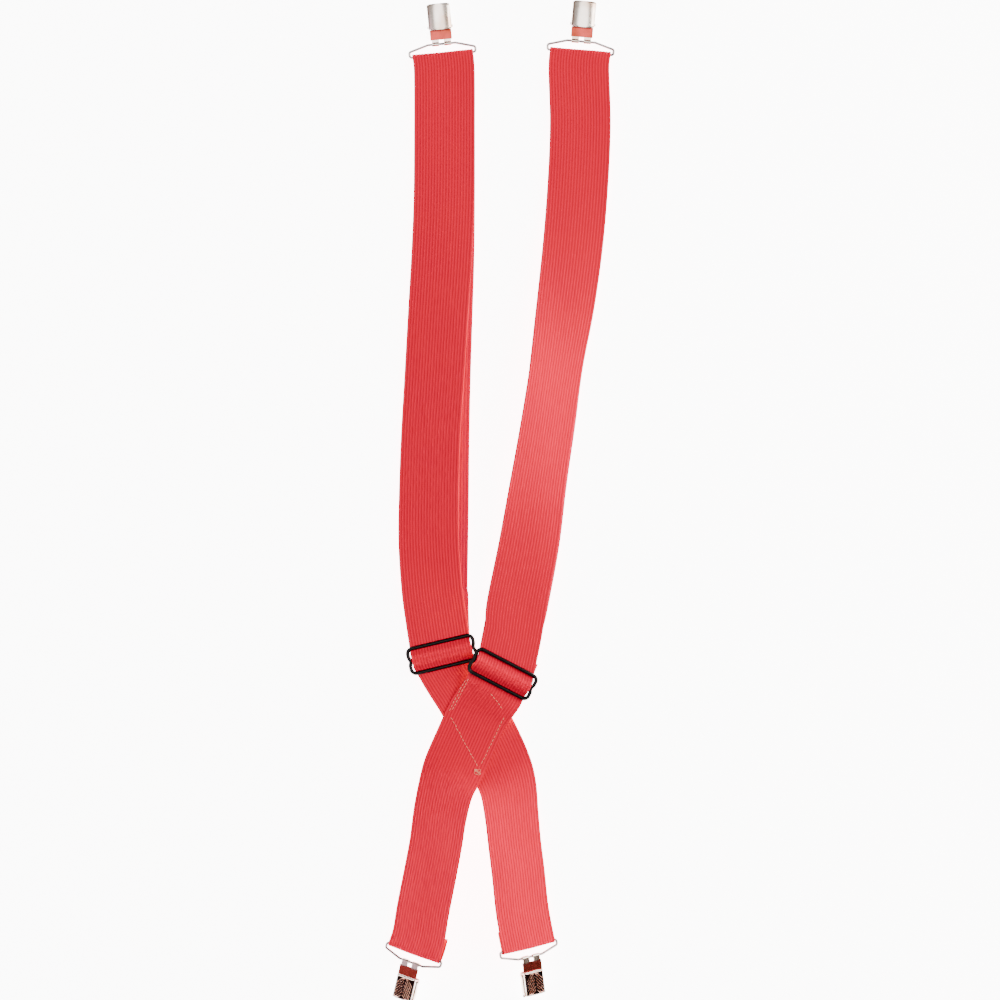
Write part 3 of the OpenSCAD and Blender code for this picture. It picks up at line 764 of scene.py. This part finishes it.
def build_clip(end):
    base_low, base_high = -1.76, -1.06
    base = rolled_tab(-5) + rolled_tab(5) + [slab((-8.9, 12, base_low), (8.9, 31.5, base_high))]
    base += [slab((-7.4, 30.5, base_low), (7.4, 31.5, -0.5)), ear(-1), ear(1)]
    # the neck carries the painted red reflection of the webbing
    clip_piece("_base_neck", end, "_clip", [slab((-8.9, 3.6, base_low), (8.9, 12.1, base_high))], NICKEL_PAINTED_RED_REFLECTION)
    plate = clip_piece("_base_plate", end, "_clip", base, NICKEL)
    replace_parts(plate, end + "_clip_base")
    # the jaw plate carries the painted dark reflection
    jaw = clip_piece("_jaw", end, "_clip", [slab((-8, 13, -2.55), (8, 31, -1.85))], NICKEL_PAINTED_DARK_REFLECTION)
    ridges = [ridge(side, y) for side in (-1, 1) for y in np.arange(10.5, 30, 2.7) if y + 0.6 < 29.8]
    # the bright ridge colour is a painted glint
    clip_piece("_jaw_ridges", end, "_clip", ridges, RIDGE_PAINTED_GLINT, 0.03)
    clip_piece("_jaw_bead", end, "_clip", [cross_bar(12.4, -2.75, 0.9, -8, 8)], NICKEL, 0.2)
    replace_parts(jaw, end + "_jaw_plate")
    pin = [cross_bar(PIN_Y, PIN_Z, 0.8, -10.4, 10.4)]
    pin += [cross_bar(PIN_Y, PIN_Z, 1.2, side * 10.05 - 0.25, side * 10.05 + 0.25) for side in (-1, 1)]
    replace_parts(clip_piece("_pin", end, "_clip", pin, NICKEL, 0.1), end + "_hinge_pin")
    lever = [lever_shell(), slab((-7.75, 31.4, 0.3), (7.75, 32.1, 4.6))]
    lever += [slab((k * 2 - 0.6, 31.4, -0.7), (k * 2 + 0.6, 32.1, 0.5)) for k in range(-3, 4)]
    lever += [cross_bar(PIN_Y, PIN_Z, 1.5, side * 9.4 - 0.35, side * 9.4 + 0.35) for side in (-1, 1)]
    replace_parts(clip_piece("_lever_cover", end, "_lever", lever, NICKEL), end + "_lever")


for end in ENDS:
    build_clip(end)


# ---------------------------------------------------------------- the finish of the carried CAD nodes

def finish_node(name, material):
    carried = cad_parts[name]
    carried.data.materials.clear()
    carried.data.materials.append(material)


for side in SLIDES:
    finish_node(side + "_adjuster_bar", LACQUER)


# ---------------------------------------------------------------- stitching

def surface_over(pieces):
    """A tree of the given pieces' faces, for dropping points on to the webbing."""
    verts, faces = [], []
    for o in pieces:
        base = len(verts)
        verts += [v.co.copy() for v in o.data.vertices]
        faces += [[base + i for i in p.vertices] for p in o.data.polygons]
    return BVHTree.FromPolygons(verts, faces)


def thread_run(points, r=0.24 * MM, sides=7):
    """Mesh parts of one stitch: a short round thread through the points, its ends dipping in."""
    verts = []
    for i, c in enumerate(points):
        t = unit(points[min(i + 1, len(points) - 1)] - points[max(i - 1, 0)])
        m = unit(np.cross(t, UP))
        n = np.cross(m, t)
        swell = r * (0.7 if i in (0, len(points) - 1) else 1)
        verts += [c + swell * (math.cos(2 * math.pi * k / sides) * m + math.sin(2 * math.pi * k / sides) * n)
                  for k in range(sides)]
    faces = [(i * sides + k, i * sides + (k + 1) % sides,
              (i + 1) * sides + (k + 1) % sides, (i + 1) * sides + k)
             for i in range(len(points) - 1) for k in range(sides)]
    faces += [tuple(range(sides))[::-1], tuple((len(points) - 1) * sides + k for k in range(sides))]
    return verts, faces


def seam(tree, start, stop, pitch, length, wobble=0.25 * MM):
    """Stitches from start to stop, laid on the webbing seen from above."""
    a, b = np.array(start) * MM - ORIGIN[:2], np.array(stop) * MM - ORIGIN[:2]
    pitch, length = pitch * MM, length * MM
    total = np.linalg.norm(b - a)
    d = (b - a) / total
    side = np.array([-d[1], d[0]])
    runs = []
    for k in range(int(total / pitch)):
        middle = a + d * (k + 0.5) * pitch + side * random.uniform(-wobble, wobble)
        points = []
        for t in np.linspace(-0.5, 0.5, 6):
            q = middle + d * t * length
            hit = tree.ray_cast(Vector((q[0], q[1], 0.2)), Vector((0, 0, -1)))[0]
            if hit is None:
                break
            lift = 0.16 * MM if abs(t) < 0.4 else -0.1 * MM
            points.append(np.array([q[0], q[1], hit.z + lift]))
        if len(points) == 6:
            runs.append(thread_run(points))
    return runs


def tangle(tree, centre):
    """The loose knot of thread where the two lower seams meet."""
    runs = []
    for strand in range(5):
        points = []
        phase = random.uniform(0, 6)
        for t in np.linspace(0, 1, 14):
            x = centre[0] + (2.6 * math.sin(5 * t + phase) + random.uniform(-0.3, 0.3))
            y = centre[1] + (2.2 * math.cos(4 * t + 1.7 * phase) + random.uniform(-0.3, 0.3))
            q = np.array([x, y]) * MM - ORIGIN[:2]
            hit = tree.ray_cast(Vector((q[0], q[1], 0.2)), Vector((0, 0, -1)))[0]
            if hit is not None:
                points.append(np.array([q[0], q[1], hit.z + (0.25 + 0.18 * strand) * MM]))
        if len(points) > 5:
            runs.append(thread_run(points, 0.17 * MM))
    return runs


def thread_object(name, runs):
    verts, faces = [], []
    for v, f in runs:
        base = len(verts)
        verts += [tuple(p) for p in v]
        faces += [tuple(base + i for i in face) for face in f]
    return new_object(name, verts, faces, THREAD)


def stitch_cross():
    tree = surface_over(STRAPS)
    runs = seam(tree, (-25.5, -148), (-40.5, -177), 3.3, 2.3)
    runs += seam(tree, (-28, -149), (-42.5, -176), 3.3, 2.3)
    runs += seam(tree, (-40.5, -180), (-18, -221), 3.3, 2.3)
    runs += seam(tree, (3.5, -180), (-16, -220), 3.3, 2.3)
    runs += seam(tree, (-8, -160), (3.5, -175), 3.3, 1.9)
    runs += tangle(tree, (-18.5, -225))
    made = thread_object("cross_threads", runs)
    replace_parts(made, "cross_stitching")
    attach(made, "straps")


stitch_cross()


# ---------------------------------------------------------------- floor

def build_floor():
    mesh = bpy.data.meshes.new("paper")
    s = 3.0
    low = CAD_BOX[0][2] - 0.0002
    mesh.from_pydata([(-s, -s, low), (s, -s, low), (s, s, low), (-s, s, low)], [], [(0, 1, 2, 3)])
    mesh.materials.append(floor_material())
    floor = bpy.data.objects.new("paper", mesh)
    bpy.context.collection.objects.link(floor)


build_floor()
